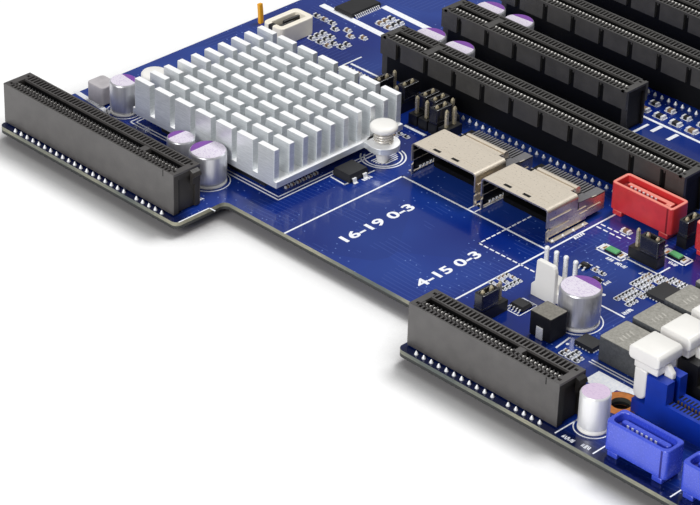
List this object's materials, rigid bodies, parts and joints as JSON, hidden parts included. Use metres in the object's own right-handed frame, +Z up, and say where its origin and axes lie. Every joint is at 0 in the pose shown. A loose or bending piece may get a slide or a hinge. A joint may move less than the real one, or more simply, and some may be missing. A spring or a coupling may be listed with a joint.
{
  "type": "server motherboard",
  "caption": "Flat server motherboard with card slots, finned chip cooler, drive sockets, processor sockets, rear ports and memory sockets with pivoting latches.",
  "frame": {"origin": "centre of the footprint on the plane that the board rests on", "axes": "+X along the card slots from the rear edge to the front edge, +Y from the near side edge to the far one, +Z up"},
  "size_m": [0.3302, 0.3048, 0.0192],
  "materials": {
    "solder_mask": "gloss",
    "slot_plastic": "matte",
    "cooler_metal": "satin",
    "black_plastic": "matte",
    "ferrite": "matte",
    "white_plastic": "satin",
    "nickel_sheet": "satin",
    "red_plastic": "satin",
    "blue_plastic": "satin",
    "gold_plate": "satin",
    "can_metal": "satin",
    "steel_sheet": "satin",
    "cover_plastic": "satin"
  },
  "bodies": {
    "main_board": {"blue_drive_socket_1": "blue_plastic", "blue_drive_socket_2": "blue_plastic", "board": "solder_mask", "capacitor_cans": "can_metal", "card_slot_a": "slot_plastic", "card_slot_b": "slot_plastic", "card_slot_c": "slot_plastic", "card_slot_d": "slot_plastic", "cell_holder": "black_plastic", "chip_packages": "black_plastic", "coin_cell": "can_metal", "cooled_chip": "black_plastic", "drive_cage_1": "nickel_sheet", "drive_cage_2": "nickel_sheet", "drive_cage_inserts": "black_plastic", "edge_strap": "gold_plate", "fan_header": "white_plastic", "header_pins": "gold_plate", "header_strips": "black_plastic", "heat_sink": "cooler_metal", "inductor_blocks": "ferrite", "jumper_shunts": "black_plastic", "main_power_socket": "white_plastic", "memory_socket_1": "blue_plastic", "memory_socket_2": "black_plastic", "memory_socket_3": "blue_plastic", "memory_socket_4": "black_plastic", "memory_socket_5": "blue_plastic", "memory_socket_6": "black_plastic", "network_port_1": "nickel_sheet", "network_port_2": "nickel_sheet", "power_chokes": "ferrite", "processor_backplates": "steel_sheet", "processor_covers": "cover_plastic", "processor_frames": "steel_sheet", "processor_power_socket_1": "white_plastic", "processor_power_socket_2": "white_plastic", "processor_sockets": "cover_plastic", "push_pin_springs": "nickel_sheet", "push_pins": "white_plastic", "red_drive_socket_1": "red_plastic", "red_drive_socket_2": "red_plastic", "riser_slot_x4": "slot_plastic", "riser_slot_x8": "slot_plastic", "serial_bus_port": "nickel_sheet", "video_port": "blue_plastic", "white_box_socket": "white_plastic"},
    "memory_latch_1_rear": {"memory_latch_1_rear": "white_plastic"},
    "memory_latch_1_front": {"memory_latch_1_front": "white_plastic"},
    "memory_latch_2_rear": {"memory_latch_2_rear": "white_plastic"},
    "memory_latch_2_front": {"memory_latch_2_front": "white_plastic"},
    "memory_latch_3_rear": {"memory_latch_3_rear": "white_plastic"},
    "memory_latch_3_front": {"memory_latch_3_front": "white_plastic"},
    "memory_latch_4_rear": {"memory_latch_4_rear": "white_plastic"},
    "memory_latch_4_front": {"memory_latch_4_front": "white_plastic"},
    "memory_latch_5_rear": {"memory_latch_5_rear": "white_plastic"},
    "memory_latch_5_front": {"memory_latch_5_front": "white_plastic"},
    "memory_latch_6_rear": {"memory_latch_6_rear": "white_plastic"},
    "memory_latch_6_front": {"memory_latch_6_front": "white_plastic"}
  },
  "joints": [
    {"name": "latch_1_rear_hinge", "type": "hinge", "parent": "main_board", "child": "memory_latch_1_rear", "pos_m": [0.0034, -0.1325, 0.0083], "axis": [0, -1, 0], "range_deg": [0, 35]},
    {"name": "latch_1_front_hinge", "type": "hinge", "parent": "main_board", "child": "memory_latch_1_front", "pos_m": [0.1448, -0.1325, 0.0083], "axis": [0, 1, 0], "range_deg": [0, 35]},
    {"name": "latch_2_rear_hinge", "type": "hinge", "parent": "main_board", "child": "memory_latch_2_rear", "pos_m": [0.0034, -0.1233, 0.0083], "axis": [0, -1, 0], "range_deg": [0, 35]},
    {"name": "latch_2_front_hinge", "type": "hinge", "parent": "main_board", "child": "memory_latch_2_front", "pos_m": [0.1448, -0.1233, 0.0083], "axis": [0, 1, 0], "range_deg": [0, 35]},
    {"name": "latch_3_rear_hinge", "type": "hinge", "parent": "main_board", "child": "memory_latch_3_rear", "pos_m": [0.0034, -0.1141, 0.0083], "axis": [0, -1, 0], "range_deg": [0, 35]},
    {"name": "latch_3_front_hinge", "type": "hinge", "parent": "main_board", "child": "memory_latch_3_front", "pos_m": [0.1448, -0.1141, 0.0083], "axis": [0, 1, 0], "range_deg": [0, 35]},
    {"name": "latch_4_rear_hinge", "type": "hinge", "parent": "main_board", "child": "memory_latch_4_rear", "pos_m": [0.0034, 0.1141, 0.0083], "axis": [0, -1, 0], "range_deg": [0, 35]},
    {"name": "latch_4_front_hinge", "type": "hinge", "parent": "main_board", "child": "memory_latch_4_front", "pos_m": [0.1448, 0.1141, 0.0083], "axis": [0, 1, 0], "range_deg": [0, 35]},
    {"name": "latch_5_rear_hinge", "type": "hinge", "parent": "main_board", "child": "memory_latch_5_rear", "pos_m": [0.0034, 0.1233, 0.0083], "axis": [0, -1, 0], "range_deg": [0, 35]},
    {"name": "latch_5_front_hinge", "type": "hinge", "parent": "main_board", "child": "memory_latch_5_front", "pos_m": [0.1448, 0.1233, 0.0083], "axis": [0, 1, 0], "range_deg": [0, 35]},
    {"name": "latch_6_rear_hinge", "type": "hinge", "parent": "main_board", "child": "memory_latch_6_rear", "pos_m": [0.0034, 0.1325, 0.0083], "axis": [0, -1, 0], "range_deg": [0, 35]},
    {"name": "latch_6_front_hinge", "type": "hinge", "parent": "main_board", "child": "memory_latch_6_front", "pos_m": [0.1448, 0.1325, 0.0083], "axis": [0, 1, 0], "range_deg": [0, 35]}
  ]
}
